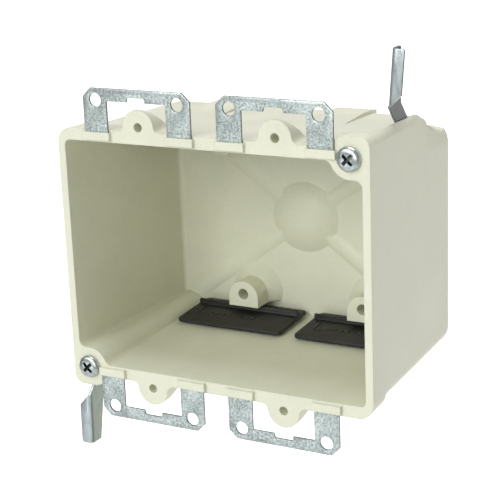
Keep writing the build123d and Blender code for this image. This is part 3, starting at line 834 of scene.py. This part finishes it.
class SWITCHBOX_OT_screws(bpy.types.Operator):
    """Makes the two clamp screws, with a crossed recess and a rolled thread"""

    bl_idname = "switchbox.screws"
    bl_label = "Clamp Screws"

    def execute(self, context):
        settings = context.scene.switchbox_metal
        zinc = bright_zinc(settings)
        # The cross in each head takes a dark copy of the zinc as painted shade.
        recess_shades = {
            "top": dull_zinc("Zinc recess, pale painted shade", settings.pale_recess_shade, 0.3),
            "bottom": dull_zinc("Zinc recess, dark painted shade", settings.recess, 0.35),
        }
        for row in ROWS:
            low, high = (Vector(corner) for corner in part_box(f"clamp_screw_{row}"))
            length = high.y - THREAD_START
            sizes = {
                "Radius": ("NodeSocketFloat", THREAD_RADIUS),
                "Length": ("NodeSocketFloat", length),
                "Pitch": ("NodeSocketFloat", settings.pitch),
                "Thread depth": ("NodeSocketFloat", settings.thread_depth),
                "Tip radius": ("NodeSocketFloat", THREAD_RADIUS - TIP_CUT),
                "Sides": ("NodeSocketInt", THREAD_SIDES),
                "Rings": ("NodeSocketInt", int(length / settings.pitch * RINGS_PER_TURN)),
                "Material": ("NodeSocketMaterial", zinc),
            }
            thread = grown(thread_tree(sizes), sizes)
            # The tree's X, Y and Z become the frame's Z, X and Y: the thread stays right-handed.
            turn = Matrix(((0, 1, 0, 0), (0, 0, 1, 0), (1, 0, 0, 0), (0, 0, 0, 1)))
            centre = (low + high) / 2
            thread.transform(Matrix.Translation((centre.x, THREAD_START, centre.z)) @ turn)
            head = screw_head(low, high)
            head.materials.append(zinc)
            head.materials.append(recess_shades[row])
            # Faces of the cross get the painted shade.
            for face in head.polygons:
                out = Vector((face.center.x - centre.x, 0, face.center.z - centre.z)).length
                steep = abs(face.normal.y) < RECESS_STEEP
                deep = low.y + RECESS_BELOW_CROWN < face.center.y < RECESS_FLOOR
                face.material_index = 1 if out < RECESS_REACH and (steep or deep) else 0
            mesh = joined("clamp_screw", head, thread)
            smooth(mesh, angle=42)
            finished(f"zinc_screw_{row}", mesh, f"clamp_screw_{row}", f"screw_{row}")
        return {"FINISHED"}


class SWITCHBOX_OT_wings(bpy.types.Operator):
    """Makes the two swinging wings"""

    bl_idname = "switchbox.wings"
    bl_label = "Wings"

    def execute(self, context):
        settings = context.scene.switchbox_metal
        zinc = dull_zinc("Dull zinc strip", settings.dull_zinc, 0.3)
        # The strip's flats take a darker copy of the zinc as painted shade, darker on the upper wing
        # than on the lower.
        strip_shades = {
            "top": dull_zinc("Zinc strip, dark painted shade", settings.dark_shade_strip_zinc, 0.5),
            "bottom": dull_zinc("Zinc strip, pale painted shade", settings.pale_shade_strip_zinc, 0.5),
        }
        for row in ROWS:
            # The fold is too tight for more than half of the ears' rounding.
            mesh = rounded(solid_copy(f"clamp_wing_{row}"), settings.edge / 2)
            mesh.materials.append(zinc)
            mesh.materials.append(strip_shades[row])
            # Faces turned across the strip get the painted shade.
            for face in mesh.polygons:
                flat = abs(face.normal.x) > WING_FLAT
                face.material_index = 1 if flat else 0
            finished(f"folded_wing_{row}", mesh, f"clamp_wing_{row}", f"wing_{row}")
        return {"FINISHED"}


# A cable clamp's plate, and the share of the moulding's rounding that its edges have.
CLAMP_SHEET = 1.3 * MM
CLAMP_SLOPE = radians(3.0)
CLAMP_ROUNDING = 0.8
# The raised bars: their place behind the plate's front edge, and their rounding's share of their
# height.
BARS_BEHIND = 8.0 * MM
BAR_ROUNDING = 0.4
# The row of bars and the two of the corner line, in millimetres: the first bar's place from the
# middle, the step to the next one, and a bar's width and length.
BARS = (
    ((-10.5, 0.0), 2.3, (1.2, 1.7)),
    ((-15.2, 1.2), 1.0, (0.5, 6.5)),
    ((-13.6, -1.8), 1.0, (3.2, 0.5)),
)


class SWITCHBOX_OT_cable_clamps(bpy.types.Operator):
    """Makes the four cable clamps, with raised bars and a corner line on each"""

    bl_idname = "switchbox.cable_clamps"
    bl_label = "Cable Clamps"

    def execute(self, context):
        settings = context.scene.switchbox_moulding
        black = black_polypropylene(settings)
        height = settings.mark_height
        for row, side in product(("bottom", "top"), ("left", "right")):
            node = f"cable_clamp_{row}_{side}"
            low, high = (Vector(corner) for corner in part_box(node))
            mesh = rounded(solid_copy(node), settings.edge * CLAMP_ROUNDING)
            mesh.materials.append(black)
            marks = []
            for count, bar in zip((settings.mark_count, 1, 1), BARS):
                (x, y), step, (wide, long) = bar
                sizes = {
                    "Count": ("NodeSocketInt", count),
                    "Start": ("NodeSocketVector", (x * MM, y * MM, 0)),
                    "Step": ("NodeSocketVector", (step * MM, 0, 0)),
                    "Bar": ("NodeSocketVector", (wide * MM, long * MM, 2 * height)),
                    "Material": ("NodeSocketMaterial", black),
                }
                marks.append(grown(mark_tree(sizes), sizes))
            bars = rounded(joined("bars", *marks), height * BAR_ROUNDING)
            # The bars lie on the plate's sloping inner face, ahead of its rib.
            x, y = (low.x + high.x) / 2, low.y + BARS_BEHIND
            rise = BARS_BEHIND * tan(CLAMP_SLOPE)
            if row == "bottom":
                lay = (Matrix.Translation((x, y, low.z + CLAMP_SHEET + rise))
                       @ Matrix.Rotation(CLAMP_SLOPE, 4, "X"))
            else:
                lay = (Matrix.Translation((x, y, high.z - CLAMP_SHEET - rise))
                       @ Matrix.Rotation(-CLAMP_SLOPE, 4, "X") @ Matrix.Rotation(pi, 4, "Y"))
            bars.transform(lay)
            mesh = joined(node, mesh, bars)
            smooth(mesh)
            finished(
                f"moulded_clamp_{row}_{side}", mesh, node, f"clamp_{row}_{side}")
        return {"FINISHED"}


class SWITCHBOX_OT_stage(bpy.types.Operator):
    """Makes the camera, the pale floor and the soft lights"""

    bl_idname = "switchbox.stage"
    bl_label = "Stage"

    def execute(self, context):
        settings = context.scene.switchbox_stage
        scene = context.scene
        right, down, forward = look_from(VIEW_AZIMUTH, VIEW_ELEVATION, VIEW_ROLL)
        place = -(right * VIEW_SHIFT.x + down * VIEW_SHIFT.y + forward * VIEW_SHIFT.z)
        camera = linked("camera", bpy.data.cameras.new("camera"))
        axes = Matrix((right, -down, -forward)).transposed()
        camera.matrix_world = Matrix.Translation(place) @ axes.to_4x4()
        camera.data.sensor_width = VIEW_SENSOR
        camera.data.lens = VIEW_SENSOR * VIEW_FOCUS
        camera.data.clip_start = 0.01
        scene.camera = camera
        scene.view_settings.view_transform = "Standard"

        half = settings.floor_size / 2
        level = CAD_BOX[0][2] - settings.floor_gap
        corners = ((-half, -half), (half, -half), (half, half), (-half, half))
        mesh = bpy.data.meshes.new("pale_floor")
        mesh.from_pydata([(x, y, level) for x, y in corners], [], [(0, 1, 2, 3)])
        mesh.materials.append(pale_paper(settings))
        floor = linked("pale_floor", mesh)

        world = bpy.data.worlds.new("Soft surround")
        world.use_nodes = True
        sky = world.node_tree.nodes["Background"]
        sky.inputs["Color"].default_value = (1, 1, 1, 1)
        sky.inputs["Strength"].default_value = settings.fill
        scene.world = world

        for light in LIGHTS:
            area_light(*light)
        return {"FINISHED"}


# Panel and registration ---------------------------------------------------------------------------

STEPS = ("body", "ears", "screws", "wings", "cable_clamps", "stage")


class SWITCHBOX_PT_panel(bpy.types.Panel):
    """The box's sizes, colours and steps"""

    bl_idname = "SWITCHBOX_PT_panel"
    bl_label = "Switch Box"
    bl_space_type = "VIEW_3D"
    bl_region_type = "UI"
    bl_category = "Switch Box"

    def draw(self, context):
        for name in ("moulding", "metal", "stage"):
            settings = getattr(context.scene, f"switchbox_{name}")
            column = self.layout.column()
            for prop in settings.__annotations__:
                column.prop(settings, prop)
        for step in STEPS:
            self.layout.operator(f"switchbox.{step}")


CLASSES = (
    MouldingSettings, MetalSettings, StageSettings,
    SWITCHBOX_OT_body, SWITCHBOX_OT_ears, SWITCHBOX_OT_screws, SWITCHBOX_OT_wings,
    SWITCHBOX_OT_cable_clamps, SWITCHBOX_OT_stage, SWITCHBOX_PT_panel,
)


def register():
    for each in CLASSES:
        bpy.utils.register_class(each)
    scene = bpy.types.Scene
    scene.switchbox_moulding = bpy.props.PointerProperty(type=MouldingSettings)
    scene.switchbox_metal = bpy.props.PointerProperty(type=MetalSettings)
    scene.switchbox_stage = bpy.props.PointerProperty(type=StageSettings)


def unregister():
    scene = bpy.types.Scene
    del scene.switchbox_moulding, scene.switchbox_metal, scene.switchbox_stage
    for each in reversed(CLASSES):
        bpy.utils.unregister_class(each)


def main():
    register()
    for step in STEPS:
        getattr(bpy.ops.switchbox, step)()


if __name__ == "__main__":
    main()
